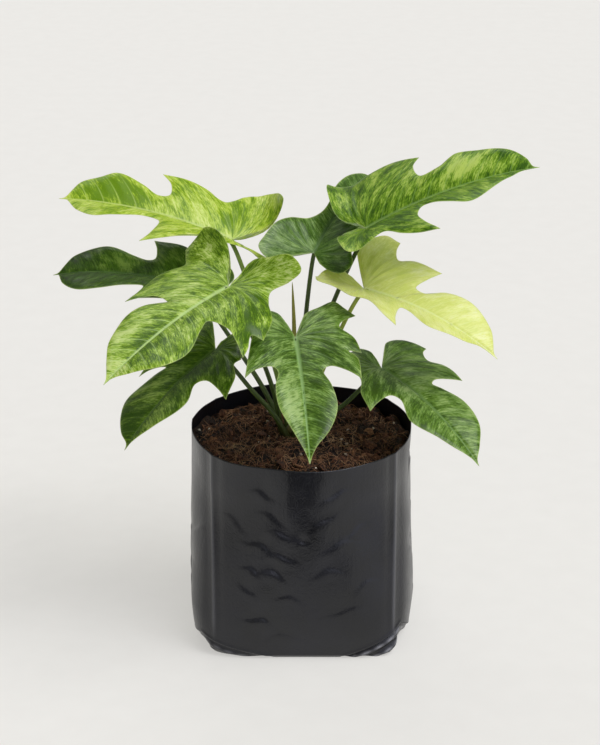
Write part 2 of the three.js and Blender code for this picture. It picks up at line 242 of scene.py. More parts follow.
# %% [markdown]
# ## The leaves' outlines
# Each leaf is one blade with a pair of rounded basal lobes behind the stalk, a pointed side lobe on each
# side and a long end lobe with a drip tip. It could be drawn flat and bent with modifiers, but a formula
# that bends the flat blade gives the same shape as the CAD sheet to a fraction of a millimetre.
# So each leaf has a place, a heading and a few bends, and then one outline for each half: millimetres
# forwards from the stalk and outwards from the midrib. A third entry of 1 marks a pointed corner.

# %% Leaf table
LEAVES = {
    "front_left": dict(
        base=(-46, -16, 237), heading=-127, pitch=-14, roll=-7, length=119,
        droop=22, fold=(14, 14), cup=(33, 26), rear=(-86, -86), twist=6,
        foot=-160, bow=(4, 0, 3),
        left=[(-8, -2), (-24, 0), (-32, 14), (-38, 27), (-31, 37), (-22, 33), (-11, 26), (-1, 32),
              (10, 44), (27, 52, 1), (31, 45), (42, 51), (51, 54, 1), (44, 42), (40, 33), (43, 19),
              (53, 22), (74, 29), (94, 24), (108, 9)],
        right=[(-9, 8), (-20, 14), (-31, 21), (-36, 31), (-34, 43), (-26, 49), (-18, 55, 1),
               (-12, 48), (-7, 43), (4, 46), (22, 48), (51, 43, 1), (43, 36), (38, 28), (41, 16),
               (51, 25), (66, 29), (88, 22), (104, 11)],
    ),
    "front_centre": dict(
        base=(-4, -30, 208), heading=-83, pitch=-30, roll=-3, length=97,
        droop=26, fold=(16, 16), cup=(14, 14), rear=(5, 5), twist=-4,
        foot=-85, bow=(0, -6, 4),
        left=[(-9, 4), (-24, 9), (-29, 19), (-33, 29), (-26, 35), (-17, 41, 1), (-10, 31), (-4, 29),
              (7, 37), (19, 40, 1), (17, 32), (23, 37), (41, 37, 1), (34, 29), (29, 19), (32, 14),
              (45, 18), (60, 20), (76, 14), (87, 5)],
        right=[(-13, 3), (-25, 8), (-26, 16), (-13, 23), (2, 28), (19, 32), (42, 37, 1), (34, 29),
               (30, 18), (34, 15), (46, 18), (60, 17), (80, 8)],
    ),
    "right_low": dict(
        base=(52, 0, 175), heading=-49, pitch=-23, roll=1, length=98,
        droop=33, fold=(14, 14), cup=(23, 23), rear=(-2, -2), twist=3,
        foot=-45, bow=(1, 0, -1),
        left=[(-12, 13), (-22, 25), (-22, 36), (-16, 42), (-5, 46, 1), (0, 38), (10, 33), (19, 38),
              (39, 36, 1), (35, 28), (31, 18), (33, 14), (40, 17), (54, 23), (75, 18), (87, 9)],
        right=[(-10, -5), (-21, -8), (-29, -5), (-27, 5), (-10, 17), (6, 24), (17, 34), (34, 41, 1),
               (31, 32), (30, 20), (36, 17), (53, 23), (73, 15), (87, 6)],
    ),
    "right_pale": dict(
        base=(40, 5, 228), heading=-26, pitch=-20, roll=7, length=98,
        droop=33, fold=(21, 21), cup=(12, 12), rear=(-9, -9), twist=2,
        foot=-5, bow=(-4, 7, 2),
        left=[(-5, 8), (-12, 19), (-19, 31), (-19, 42), (-15, 54), (-10, 59), (2, 54, 1), (4, 43),
              (10, 33), (19, 36), (38, 36, 1), (33, 25), (30, 14), (37, 13), (47, 21), (65, 23),
              (84, 15)],
        right=[(-12, -8), (-24, -11), (-31, -6), (-33, 4, 1), (-27, 14), (-14, 14), (2, 22),
               (11, 23), (27, 36), (39, 42, 1), (34, 30), (32, 14), (38, 14), (55, 24), (73, 14),
               (86, 4)],
    ),
    "top_right": dict(
        base=(42, 25, 262), heading=-4, pitch=21, roll=12, length=117,
        droop=24, fold=(24, 22), cup=(21, 18), rear=(-93, -93), twist=5,
        foot=35, bow=(-6, 11, 4),
        left=[(-6, 9), (-14, 12), (-22, 19), (-28, 32), (-30, 45), (-25, 57), (-12, 58), (0, 52),
              (12, 54), (26, 56), (46, 41, 1), (41, 35), (44, 21), (58, 23), (69, 31), (84, 26),
              (103, 18), (111, 9)],
        right=[(-5, -4), (-16, -1), (-22, 18), (-17, 34), (-6, 36), (4, 34), (14, 30), (25, 41),
               (37, 50), (49, 55, 1), (41, 40), (37, 24), (41, 14), (59, 26), (71, 32), (88, 21),
               (105, 5)],
    ),
    "top_left": dict(
        base=(-46, 53, 245), heading=179, pitch=13, roll=-12, length=117,
        droop=25, fold=(18, 21), cup=(14, 8), rear=(-5, -81), twist=-3,
        foot=118, bow=(3, 0, 2),
        left=[(-5, 1), (-12, 1), (-19, 1), (-26, 3), (-29, 9), (-26, 14), (-21, 13), (-17, 8),
              (-11, 5), (-5, 7), (2, 10), (12, 12), (23, 16), (40, 36), (57, 48, 1), (52, 35),
              (50, 13), (62, 11), (79, 22), (90, 27), (102, 19)],
        right=[(-3, 3), (-10, 9), (-20, 13), (-28, 17), (-34, 20), (-42, 22), (-49, 24), (-46, 33),
               (-36, 43), (-24, 48), (-13, 46), (0, 42), (7, 34), (12, 30), (18, 31), (24, 34),
               (38, 36), (56, 36, 1), (49, 28), (48, 18), (55, 16), (66, 22), (84, 27), (94, 22),
               (106, 16)],
    ),
    "left_low": dict(
        base=(-55, -15, 194), heading=-136, pitch=-30, roll=3, length=90,
        droop=25, fold=(10, 16), cup=(19, 33), rear=(-7, -7), twist=2,
        foot=-125, bow=(1, 0, 2),
        left=[(-8, -3), (-18, -1), (-16, 9), (-7, 18), (1, 26, 1), (6, 25), (16, 36), (34, 45, 1),
              (30, 34), (28, 21), (33, 16), (46, 21), (60, 18), (77, 7)],
        right=[(-9, 10), (-21, 25), (-27, 40), (-18, 43), (-8, 35), (7, 23), (16, 27), (27, 37),
               (40, 36, 1), (34, 29), (29, 17), (38, 21), (57, 27), (72, 19), (82, 10)],
    ),
    "left_dark": dict(
        base=(-69, 20, 223), heading=172, pitch=1, roll=-15, length=97,
        droop=31, fold=(14, 14), cup=(12, 12), rear=(5, 5), twist=-5,
        foot=160, bow=(3, 0, 3),
        left=[(-8, 4), (-19, 10), (-22, 20), (-13, 26), (2, 22), (17, 26), (36, 30, 1), (33, 22),
              (32, 13), (44, 15), (58, 23), (71, 24), (86, 14)],
        right=[(-7, 4), (-17, 9), (-21, 20), (-14, 30), (2, 27), (16, 34), (37, 35, 1), (33, 26),
               (32, 17), (36, 15), (46, 17), (67, 23), (86, 16)],
    ),
    "back_centre": dict(
        base=(8, 38, 241), heading=64, pitch=14, roll=4, length=104,
        droop=34, fold=(37, 23), cup=(0, 3), rear=(-7, -7), twist=2,
        foot=65, bow=(-2, 2, 1),
        left=[(-8, 9), (-18, 18), (-24, 26), (-20, 34), (-9, 34), (3, 32), (13, 25), (22, 14),
              (33, 9), (47, 9), (62, 12), (80, 11), (95, 6)],
        right=[(-10, 9), (-17, 20), (-20, 31), (-13, 36), (0, 31), (12, 31), (24, 26), (32, 13),
               (44, 11), (60, 19), (78, 17), (94, 9)],
    ),
}
print("leaves:", ", ".join(f"{n} {leaf['length']} mm" for n, leaf in LEAVES.items()))

# %% [markdown]
# ## Bending a blade
# A leaf is a thin sheet. Its midrib bows down under its own weight, the halves fold up from it, cup over
# again, and the tip twists. The basal lobes bend from the stalk by an angle of their own.
# blade_sheet gives the point of that sheet for a place on the flattened blade, for whole arrays at once.

# %% The bent sheet
LOBE_REACH = 40  # mm: `rear` is the angle reached this far behind the stalk
CUP_REACH = 35  # mm: `cup` is the angle reached this far from the midrib


def unit(v):
    return v / np.linalg.norm(v, axis=-1, keepdims=True)


def blade_sheet(leaf):
    """A leaf's sheet(u, v): the point in mm for u forwards from the stalk and v to the left."""
    heading = math.radians(leaf["heading"])
    rise = math.radians(leaf["pitch"] + leaf["droop"] / 2)
    roll = math.radians(leaf["roll"])
    ahead = np.array([math.cos(heading) * math.cos(rise), math.sin(heading) * math.cos(rise),
                      math.sin(rise)])
    level = unit(np.cross([0, 0, 1], ahead))
    left = level * math.cos(roll) + np.cross(ahead, level) * math.sin(roll)
    up = np.cross(ahead, left)
    base = np.array(leaf["base"], float)

    def sheet(u, v):
        u, v = np.asarray(u, float)[..., None], np.asarray(v, float)[..., None]
        right = v < 0
        rear = np.where(right, leaf["rear"][1], leaf["rear"][0])
        bend = np.radians(np.where(u < 0, rear / LOBE_REACH, leaf["droop"] / leaf["length"]))
        bend = np.where(np.abs(bend) < 1e-6, 1e-6, bend)
        a = bend * u
        point = base + ahead * np.sin(a) / bend - up * (1 - np.cos(a)) / bend
        along = ahead * np.cos(a) - up * np.sin(a)
        turn = np.radians(leaf["twist"]) * np.maximum(u, 0) / leaf["length"]
        side = left * np.cos(turn) + np.cross(along, left) * np.sin(turn)
        normal = np.cross(along, side)
        fold = np.radians(np.where(right, leaf["fold"][1], leaf["fold"][0]))
        cup = np.radians(np.where(right, leaf["cup"][1], leaf["cup"][0]) / CUP_REACH)
        cup = np.where(np.abs(cup) < 1e-6, 1e-6, cup)
        lean = fold - cup * np.abs(v)
        return (point + side * np.sign(v) * (np.sin(fold) - np.sin(lean)) / cup
                + normal * (np.cos(lean) - np.cos(fold)) / cup)

    return sheet


for name, leaf in LEAVES.items():
    print(f"{name}: tip at", blade_sheet(leaf)(leaf["length"], 0).round())

# %% [markdown]
# ## Veins, pleats and margins
# The side veins leave the midrib steeply and curve forwards. Between them the blade swells a little, so
# light runs over it in soft pleats. `vein_place` says which vein a point lies on and how far out along
# it: the streaks of the variegation follow the same lines. The margin is rolled down by 0.7 mm.

# %% Margin and veins
MARGIN_STEP = 1.3  # mm between points along the margin
VEIN_SLOPE = 1.2  # mesh rays run this far forwards for each mm outwards, as in the CAD blade
RAY_STATIONS = [0.03, 0.07, 0.12, 0.19, 0.27, 0.36, 0.45, 0.54, 0.63, 0.72, 0.8, 0.87, 0.93]
BLADE_MM = 0.45  # thickness of a living blade
PLEAT_MM = 11.0  # spacing of the side veins along the midrib
RIM_MM = 0.5  # last station before the margin
TIP_MM = 1.2  # how far the drip tip runs on past the blade's length
KEEL_MM = 0.9  # how far the midrib stands out below the blade
ROLL_MM, GROOVE_MM = 0.7, 0.5  # how far the margin rolls down and the midrib sinks in the upper face


def margin_points(marks, length):
    """One half's margin: smooth runs between pointed corners, with a drawn-out drip tip."""
    runs, run = [], []
    for mark in [*marks, (length - 3, 1.3), (length + TIP_MM, 0, 1)]:
        run.append(mark[:2])
        if len(mark) == 3:
            runs.append(run)
            run = [mark[:2]]
    out = []
    for run in runs:
        gaps = np.linalg.norm(np.diff(np.array(run, float), axis=0), axis=1)
        out.extend(catmull(run, np.maximum(1, np.round(gaps / MARGIN_STEP)).astype(int))[:-1])
    out.append(np.array(runs[-1][-1], float))
    return np.array(out)


def vein_place(u, v):
    """(which vein, how far along it) in mm. Veins of the basal lobes fan out from the stalk."""
    out = np.abs(v)
    vein = u - (0.42 * out + 0.0105 * out ** 2)
    reach = np.hypot(u, out)
    bearing = np.arctan2(out, u)
    first = np.arctan2(1.0, 0.42 + 0.0105 * reach)
    vein = np.where(vein > 0, vein, -34 * np.maximum(bearing - first, 0))
    return vein, np.hypot(u - np.maximum(vein, 0), out)


def edge_distance(u, v, outline):
    """How far each point of the flattened blade is from the margin."""
    best = np.full(len(u), 1e9)
    for a, b in zip(outline, np.roll(outline, -1, axis=0)):
        ab = b - a
        t = np.clip(((u - a[0]) * ab[0] + (v - a[1]) * ab[1]) / max(ab @ ab, 1e-9), 0, 1)
        best = np.minimum(best, np.hypot(u - a[0] - t * ab[0], v - a[1] - t * ab[1]))
    return best


print("side veins every", PLEAT_MM, "mm, blade", BLADE_MM, "mm thick")

# %% [markdown]
# ## The mesh of a blade
# Rows of points run from the midrib out to the margin and forwards, the way side veins do, so that the
# faces lie along the lobes. Filling the outline with one big face would leave nothing to bend. The flat
# mesh is then bent, doubled into an upper and a lower face, and closed round the margin.

# %% The flat blade
def flat_blade(leaf):
    """The flattened blade in mm: its points, faces, outline and the loop of points round its margin.
    Rows of points run out from the midrib to the margin, and share the midrib's points."""
    flat, faces, spine, halves, loops = [], [], {}, {}, {}

    def corner(u, v):
        flat.append((u, v))
        return len(flat) - 1

    def spine_at(u):
        key = round(float(u), 2)
        if key not in spine:
            spine[key] = corner(key, 0.0)
        return spine[key]

    tip = leaf["length"] + TIP_MM
    for side in ("left", "right"):
        edge = margin_points(leaf[side], leaf["length"])
        reach = np.clip(edge[:, 0] - VEIN_SLOPE * np.abs(edge[:, 1]), 0, tip)
        halves[side] = edge, np.round(np.maximum.accumulate(reach), 2)
    feet = sorted({0.0, *halves["left"][1].tolist(), *halves["right"][1].tolist()})
    for side, sign in (("left", 1), ("right", -1)):
        edge, foot = halves[side]
        rows = []
        for (x, y), f in zip(edge, foot):
            if x >= tip:
                rows.append([spine_at(tip)] * (len(RAY_STATIONS) + 3))
                continue
            ray = max(math.hypot(x - f, y), 0.01)
            last = max(1 - RIM_MM / ray, 0.95)
            rows.append([spine_at(f)] + [corner(f + (x - f) * r, sign * y * r)
                                         for r in (*RAY_STATIONS, last, 1.0)])

        def face(*loop):
            loop = [c for i, c in enumerate(loop) if c != loop[i - 1]]
            if len(loop) > 2:
                faces.append(loop if sign > 0 else loop[::-1])

        for i in range(len(rows) - 1):
            between = [spine_at(m) for m in feet if foot[i] <= m <= foot[i + 1]]
            for a, b in zip(between, between[1:]):
                face(a, b, rows[i][1])
            face(between[-1], rows[i + 1][1], rows[i][1])
            for r in range(1, len(rows[0]) - 1):
                face(rows[i][r], rows[i + 1][r], rows[i + 1][r + 1], rows[i][r + 1])
        loops[side] = rows[0] + [row[-1] for row in rows[1:]]
    outline = np.vstack([[(0, 0)], halves["left"][0], (halves["right"][0] * (1, -1))[::-1]])
    return np.array(flat), faces, outline, loops["right"] + loops["left"][1:-1][::-1]

# %% The blade in space
def blade_mesh(leaf, seed):
    """Points in mm, faces and marks of one blade, with its pleats, midrib, margin and both faces."""
    flat, faces, outline, rim = flat_blade(leaf)
    u, v = flat.T
    tip = leaf["length"] + TIP_MM
    edge = edge_distance(u, v, outline)
    vein, out = vein_place(u, v)
    # lift over the bent sheet: pleats between veins, a groove on the midrib, waves and a rolled margin
    away = smoothstep(2, 16, out) * smoothstep(0, 9, edge)
    pleat = 0.5 * (1 - np.abs(np.cos(math.pi * vein / PLEAT_MM))) ** 0.9
    lift = pleat * away * 1.2 - GROOVE_MM * (1 - smoothstep(0, 2.2, np.abs(v))) * smoothstep(-1, 6, u)
    lift += 0.8 * np.sin(u / 7.0 + seed) * smoothstep(14, 2, edge) * smoothstep(6, 22, out)
    lift -= ROLL_MM * (1 - smoothstep(0, 3.0, edge)) * smoothstep(4, 12, out)
    sheet = blade_sheet(leaf)
    e = 0.4  # mm: a small step for the sheet's slopes
    normal = unit(np.cross(sheet(u + e, v) - sheet(u - e, v), sheet(u, v + e) - sheet(u, v - e)))
    middle = sheet(u, v) + normal * lift[:, None]
    # normals of the pleated sheet, from its own faces
    smooth = np.zeros_like(middle)
    for loop in faces:
        a, b, c = middle[loop[0]], middle[loop[1]], middle[loop[-1]]
        turn = np.cross(b - a, c - a)
        for k in loop:
            smooth[k] += turn
    lengths = np.linalg.norm(smooth, axis=1, keepdims=True)
    smooth = np.where(lengths > 1e-9, smooth / np.maximum(lengths, 1e-9), normal)
    half = BLADE_MM / 2 * (0.35 + 0.65 * smoothstep(0, 2.0, edge))
    width = 1.5 * np.clip(1 - u / tip, 0.12, 1)
    keel = KEEL_MM * np.clip(1 - u / tip, 0.05, 1) * np.exp(-(v / width) ** 2) * smoothstep(-3, 2, u)
    top = middle + smooth * half[:, None]
    under = middle - smooth * (half + keel)[:, None]
    n = len(flat)
    both = [list(f) for f in faces] + [[k + n for k in f[::-1]] for f in faces]
    for a, b in zip(rim, rim[1:] + rim[:1]):
        if a != b:
            both.append([a, a + n, b + n, b])
    points = np.vstack([top, under])
    ones = np.ones(n)
    marks = {
        "blade": np.vstack([np.stack([u, v, ones], 1), np.stack([u, v, 0 * ones], 1)]),
        "vein": np.tile(np.stack([vein, out, edge], 1), (2, 1)),
    }
    return points, both, marks


print("rows of", len(RAY_STATIONS) + 3, "points on each half")

# %% [markdown]
# ## Leaf finish: living philodendron blade, cuticle grown smooth
# A leaf's skin is a waxy cuticle: smooth enough for a soft sheen, with tiny cells under it. Variegated
# tissue lacks part of its green, so streaks of lime and cream run along the side veins between green
# ones. Image textures could hold such a pattern, but noise stretched along the veins gives it at any size.
# Each leaf has its own five tones, and patches where it turns more lime or more green.

# %% How each leaf is painted
BLADES = {  # dark green, green, mid, lime, cream; the midrib
    "front_left": ("#3c5c02", "#5a7a10", "#769420", "#93b03e", "#bccd7c", "#b6cf84"),
    "front_centre": ("#304a08", "#446218", "#567426", "#6e8c3e", "#96ae68", "#86a664"),
    "right_low": ("#34500a", "#4c6c1c", "#607e30", "#749244", "#98ae6c", "#6f8d4e"),
    "right_pale": ("#ccd670", "#d4dc7c", "#d9e086", "#dde490", "#e4eaa8", "#e0e8a0"),
    "top_right": ("#325802", "#4e720c", "#668a1a", "#80a02e", "#b0c45e", "#86a658"),
    "top_left": ("#648604", "#86a21c", "#9eb634", "#b0c44e", "#c8d67c", "#bccd72"),
    "left_low": ("#324e06", "#435e12", "#54701c", "#68842c", "#94aa50", "#5e763c"),
    "left_dark": ("#203602", "#2a4206", "#324e0a", "#3e5816", "#5e7430", "#46602c"),
    "back_centre": ("#304c0a", "#42601c", "#50702a", "#607c36", "#86a060", "#628048"),
}
PATCHES = {  # (forwards, outwards to the left, half length, half width, more lime or less)
    "front_left": [(-26, -42, 18, 16, 0.06), (-25, 32, 18, 18, 0.1), (8, 28, 16, 16, -0.1),
                   (30, 44, 12, 10, -0.14), (84, -16, 18, 10, 0.12), (84, 2, 14, 9, -0.14),
                   (108, 0, 14, 14, 0.12), (30, -8, 22, 16, 0.05)],
    "front_centre": [(54, -11, 20, 8, 0.17), (-20, 28, 14, 14, 0.03), (28, 20, 20, 14, -0.08),
                     (70, 8, 20, 8, -0.05), (-18, -18, 14, 14, 0.05)],
    "right_low": [(30, 6, 16, 14, 0.08), (-14, 36, 14, 14, -0.12), (60, 10, 20, 10, 0.05),
                  (20, -24, 14, 14, -0.08)],
    "right_pale": [(0, 0, 30, 30, -0.08), (60, 0, 40, 8, -0.04)],
    "top_right": [(72, 14, 15, 10, 0.22), (30, 26, 14, 20, 0.05), (20, -12, 30, 12, -0.08),
                  (98, 0, 16, 16, -0.06)],
    "top_left": [(84, -12, 18, 11, -0.24), (4, -18, 8, 16, -0.14), (100, 8, 18, 8, 0.05)],
    "left_low": [(46, -14, 16, 8, 0.12), (64, 10, 16, 10, 0.1), (72, -6, 14, 7, -0.14),
                 (20, 10, 14, 18, -0.1)],
    "left_dark": [(50, -10, 14, 10, 0.12), (22, -22, 10, 10, 0.08), (80, 6, 16, 10, -0.05)],
    "back_centre": [(-12, 22, 14, 10, 0.1), (30, 0, 30, 8, 0.05), (-10, -20, 14, 14, -0.08)],
}


print("patches:", sum(len(patches) for patches in PATCHES.values()))

# %% Leaf material
def cuticle(name, colours, length, seed):
    """Variegated leaf blade: glossy cuticle, IOR about 1.45, roughness 0.26 to 0.38."""
    made, tree = new_material(name)
    marks = [add(tree, "Attribute", attribute_name=mark).outputs["Vector"] for mark in ("blade", "vein")]
    u, v, face = add(tree, "SeparateXYZ", {0: marks[0]}).outputs
    which, along, edge = add(tree, "SeparateXYZ", {0: marks[1]}).outputs
    # the noise of each half and each leaf lies in a slice of its own
    hand = add(tree, "Math", {0: v}, operation="SIGN")
    half = add(tree, "Math", {0: hand, 1: 9.0, 2: seed}, operation="MULTIPLY_ADD")
    amount, patterns = add(tree, "Attribute", attribute_name="lime").outputs["Fac"], []
    # streaks 1.15 mm wide and 7 mm long, flecks 0.5 by 2.4 mm, clouds 8 by 14 mm
    for wide, long, detail, weight in ((1.15, 7.0, 3.0, 0.55), (0.5, 2.4, 2.0, 0.45), (8.0, 14.0, 3.0, 0.7)):
        place = add(tree, "CombineXYZ", {0: add(tree, "Math", {0: which, 1: wide}, operation="DIVIDE"),
                                         1: add(tree, "Math", {0: along, 1: long}, operation="DIVIDE"),
                                         2: half})
        patterns.append(add(tree, "TexNoise", {"Vector": place, "Scale": 1.0, "Detail": detail,
                                               "Roughness": 0.6}))
        change = add(tree, "Math", {0: patterns[-1], 1: 0.5}, operation="SUBTRACT")
        amount = add(tree, "Math", {0: change, 1: weight, 2: amount}, operation="MULTIPLY_ADD")
    *tones, rib = colours
    colour = add(tree, "ValToRGB", {"Fac": amount}, stops=list(zip((0.37, 0.45, 0.51, 0.57, 0.68), tones)))
    # the midrib is 3 mm wide at the stalk, drawn out to a thread at the tip
    to_vein = add(tree, "Math", {0: which, 1: PLEAT_MM / 2}, operation="PINGPONG")
    taper = add(tree, "MapRange", {"Value": u, "From Min": 0.0, "From Max": length,
                                   "To Min": 1.9, "To Max": 0.4})
    off_middle = add(tree, "Math", {0: v}, operation="ABSOLUTE")
    across = add(tree, "Math", {0: off_middle, 1: taper}, operation="DIVIDE")
    layers = [  # (what it fades with, where the fade starts and ends, how strong it is), ...; its colour
        ([(to_vein, 0.15, 0.7, 1.0), (along, 4.0, 42.0, 0.45)], rib),  # side veins, under 1 mm wide
        ([(across, 0.45, 1.25, 0.9), (u, 1.0, -3.0, 1.0)], rib),  # the midrib
        ([(edge, 0.2, 0.7, 0.3)], "#b9c98a"),  # a painted highlight: a thin pale line along the rolled margin
        ([(face, 0.4, 0.6, 0.45)], "#9db37c"),  # the underside is paler and greyer
    ]
    for fades, code in layers:
        share = 1.0
        for value, start, end, top in fades:
            fade = add(tree, "MapRange", {"Value": value, "From Min": start, "From Max": end,
                                          "To Min": top, "To Max": 0.0})
            share = add(tree, "Math", {0: fade, 1: share}, operation="MULTIPLY")
        colour = add(tree, "Mix", {0: share, 6: colour, 7: code}, data_type="RGBA")
    cells = add(tree, "TexNoise", {"Vector": add(tree, "CombineXYZ", {0: u, 1: v, 2: face}),
                                   "Scale": 1.3, "Detail": 3.0})
    upper = add(tree, "MapRange", {"Value": cells, "From Min": 0.3, "From Max": 0.7,
                                   "To Min": 0.26, "To Max": 0.38})
    under = add(tree, "MapRange", {"Value": face, "From Min": 0.4, "From Max": 0.6,
                                   "To Min": 0.2, "To Max": 0.0})
    rough = add(tree, "Math", {0: upper, 1: under}, operation="ADD")
    relief = add(tree, "Math", {0: patterns[0], 1: 0.8, 2: cells}, operation="MULTIPLY_ADD")
    bump = add(tree, "Bump", {"Height": relief, "Strength": 0.25, "Distance": 0.00025})
    shade = add(tree, "BsdfPrincipled", {"Base Color": colour, "Roughness": rough, "IOR": 1.45,
                                         "Specular IOR Level": 0.3, "Normal": bump,
                                         "Subsurface Weight": 0.4, "Subsurface Scale": 0.0015,
                                         "Subsurface Radius": (1.0, 1.2, 0.4)})
    add(tree, "OutputMaterial", {"Surface": shade})
    return made

# %% Build the nine leaves
for number, (name, leaf) in enumerate(LEAVES.items()):
    points, faces, marks = blade_mesh(leaf, seed=number * 1.7)
    u, v, _ = marks["blade"].T
    marks["lime"] = np.full(len(u), 0.5)
    for pu, pv, ru, rv, change in PATCHES[name]:
        marks["lime"] += change * np.exp(-((u - pu) / ru) ** 2 - ((v - pv) / rv) ** 2)
    material = cuticle(f"living_leaf_{name}", BLADES[name], leaf["length"], seed=number * 3.3 + 1)
    new_piece(f"blade_{name}", points, faces, material, [f"leaf_{name}"], marks=marks)

# %% [markdown]
# ## Stalks
# Each blade hangs on a long stalk that starts in a sheath at the stem base, thins as it rises, bends
# forwards just under the blade and runs on as the midrib. A bevelled curve would give a plain rod; a
# ring swept along the curve can also have the shallow groove that runs up the stalk's inner side.

# %% Sweep helper
CROWN = (-5.0, 3.0)  # where the plant stands in the bag
SOIL_EDGE, SOIL_MOUND, BAG_HALF = 122.0, 5.0, 72.5


def soil_height(x, y):
    r = np.hypot(x, y) / BAG_HALF
    return SOIL_EDGE + SOIL_MOUND * np.maximum(0, 1 - r * r)


def sweep(path, radii, sides, shape=None, start=(0, 0, 1)):
    """A closed tube along a path: points, faces, and (distance along, angle, radius) of each point.
    shape(angle, fraction) scales the radius. Angle 0 faces `start`."""
    path = np.asarray(path, float)
    along = unit(np.gradient(path, axis=0))
    ref = np.asarray(start, float)
    ref = unit(ref - along[0] * (ref @ along[0]))
    steps = np.r_[0, np.cumsum(np.linalg.norm(np.diff(path, axis=0), axis=1))]
    points, marks = [], []
    for i, (p, t, r) in enumerate(zip(path, along, radii)):
        ref = unit(ref - t * (ref @ t))
        other = np.cross(t, ref)
        for k in range(sides):
            a = 2 * math.pi * k / sides
            size = r * (shape(a, i / (len(path) - 1)) if shape else 1)
            points.append(p + size * (math.cos(a) * ref + math.sin(a) * other))
            marks.append((steps[i], a, r))
    points += [path[0], path[-1]]
    marks += [(0, 0, radii[0]), (steps[-1], 0, radii[-1])]
    return points, tube_faces(len(path), sides), marks

# %% [markdown]
# ### Stalk finish: fleshy green stalk, skin grown smooth
# The stalk's skin is darker than the blade, finely ribbed lengthwise, speckled with pale dashes, and
# darker at the foot. It has a dull sheen, so it is a little rougher than the blade.

# %% Stalk material
def stalk_skin(name, dark, light, fleck_colour, foot_colour):
    made, tree = new_material(name)
    mark = add(tree, "Attribute", attribute_name="stalk").outputs["Vector"]
    along, around, _ = add(tree, "SeparateXYZ", {0: mark}).outputs
    turn = [add(tree, "Math", {0: around}, operation=op) for op in ("COSINE", "SINE")]
    # ribs 12 mm long and 1.2 mm wide, and dashes 3 mm by 0.35 mm, on a stalk of 1.6 mm radius
    noises = []
    for long, wide in ((12.0, 1.2), (3.0, 0.35)):
        length = add(tree, "Math", {0: along, 1: long}, operation="DIVIDE")
        x, y = [add(tree, "Math", {0: part, 1: 1.6 / wide}, operation="MULTIPLY") for part in turn]
        spot = add(tree, "CombineXYZ", {0: length, 1: x, 2: y})
        noises.append(add(tree, "TexNoise", {"Vector": spot, "Scale": 1.0, "Detail": 2.0}))
    ribs, dashes = noises
    colour = add(tree, "ValToRGB", {"Fac": ribs}, stops=[(0.32, dark), (0.7, light)])
    fleck = add(tree, "MapRange", {"Value": dashes, "From Min": 0.6, "From Max": 0.72,
                                   "To Min": 0.0, "To Max": 0.45})
    foot = add(tree, "MapRange", {"Value": along, "From Min": 6.0, "From Max": 26.0,
                                  "To Min": 0.8, "To Max": 0.0})
    for share, code in ((fleck, fleck_colour), (foot, foot_colour)):
        colour = add(tree, "Mix", {0: share, 6: colour, 7: code}, data_type="RGBA")
    bump = add(tree, "Bump", {"Height": ribs, "Strength": 0.35, "Distance": 0.0003})
    rough = add(tree, "MapRange", {"Value": dashes, "To Min": 0.38, "To Max": 0.5})
    shade = add(tree, "BsdfPrincipled", {"Base Color": colour, "Roughness": rough, "IOR": 1.45,
                                         "Normal": bump})
    add(tree, "OutputMaterial", {"Surface": shade})
    return made


green_stalk = stalk_skin("fleshy_green_stalk", "#2c3c12", "#4e6224", "#8aa058", "#403e1c")
yellow_stalk = stalk_skin("fleshy_yellow_stalk", "#8a9a30", "#a9b64a", "#c9d27c", "#77802c")
lime_stalk = stalk_skin("fleshy_lime_stalk", "#55702a", "#8fa544", "#b9c97a", "#4a5524")

# %% Build the nine stalks
RING = 8.2  # stalk feet stand on this circle round the stem base
STALK_FOOT_R, STALK_R, STALK_TOP_R = 2.5, 1.75, 1.35
STALK_SINK = 7.0  # mm of each foot inside the soil
SPECIAL_STALKS = {"right_pale": (yellow_stalk, "petiole_yellow"), "top_left": (lime_stalk, "petiole_green")}


def groove(a, t):
    """Round, with a shallow channel on the side of angle 0 that fades into the blade."""
    return 1 - 0.2 * math.exp(-(math.sin(a / 2) / 0.3) ** 2) * (1 - t * 0.5)


for name, leaf in LEAVES.items():
    sheet = blade_sheet(leaf)
    base = sheet(0, 0)
    forward = unit(sheet(2, 0) - sheet(0, 0))
    normal = unit(np.cross(forward, sheet(0, 1) - sheet(0, -1)))
    a = math.radians(leaf["foot"])
    foot = np.array([CROWN[0] + RING * math.cos(a), CROWN[1] + RING * math.sin(a), 0])
    foot[2] = soil_height(foot[0], foot[1]) + 1.6
    under = base - 2.4 * normal
    bow = np.array(leaf["bow"], float)
    middle = (foot + under) / 2 + bow
    low = foot + (under - foot) * 0.2 + 0.7 * bow + (0, 0, 2)
    sunk = foot + np.array([-math.cos(a) * 3, -math.sin(a) * 3, -STALK_SINK])
    end = sheet(5.0, 0) - 0.9 * normal
    path = catmull([sunk, foot, low, middle, under + (base - under) * 0.25, end], [5, 8, 16, 26, 8])
    t = np.linspace(0, 1, len(path))
    radii = STALK_R + (STALK_FOOT_R - STALK_R) * np.exp(-t * 9) - (STALK_R - STALK_TOP_R) * t
    radii = radii * np.where(t > 0.93, 1 - 0.75 * smoothstep(0.93, 1.0, t), 1)
    points, faces, marks = sweep(path, radii, 14, groove, start=(-math.cos(a), -math.sin(a), 0.3))
    skin, slot = SPECIAL_STALKS.get(name, (green_stalk, "petiole_green"))
    new_piece(f"stalk_{name}", points, faces, skin, [f"petiole_{name}"], marks={"stalk": marks})
    print(f"    {np.linalg.norm(np.diff(path, axis=0), axis=1).sum():.0f} mm long")

# %% [markdown]
# ## The rolled new leaf
# The next leaf stands rolled up like a paper spill inside its sheath, drawn out to a point, with the
# free edge winding up it. A lathe would miss that edge, so its ring is a spiral with a small step.

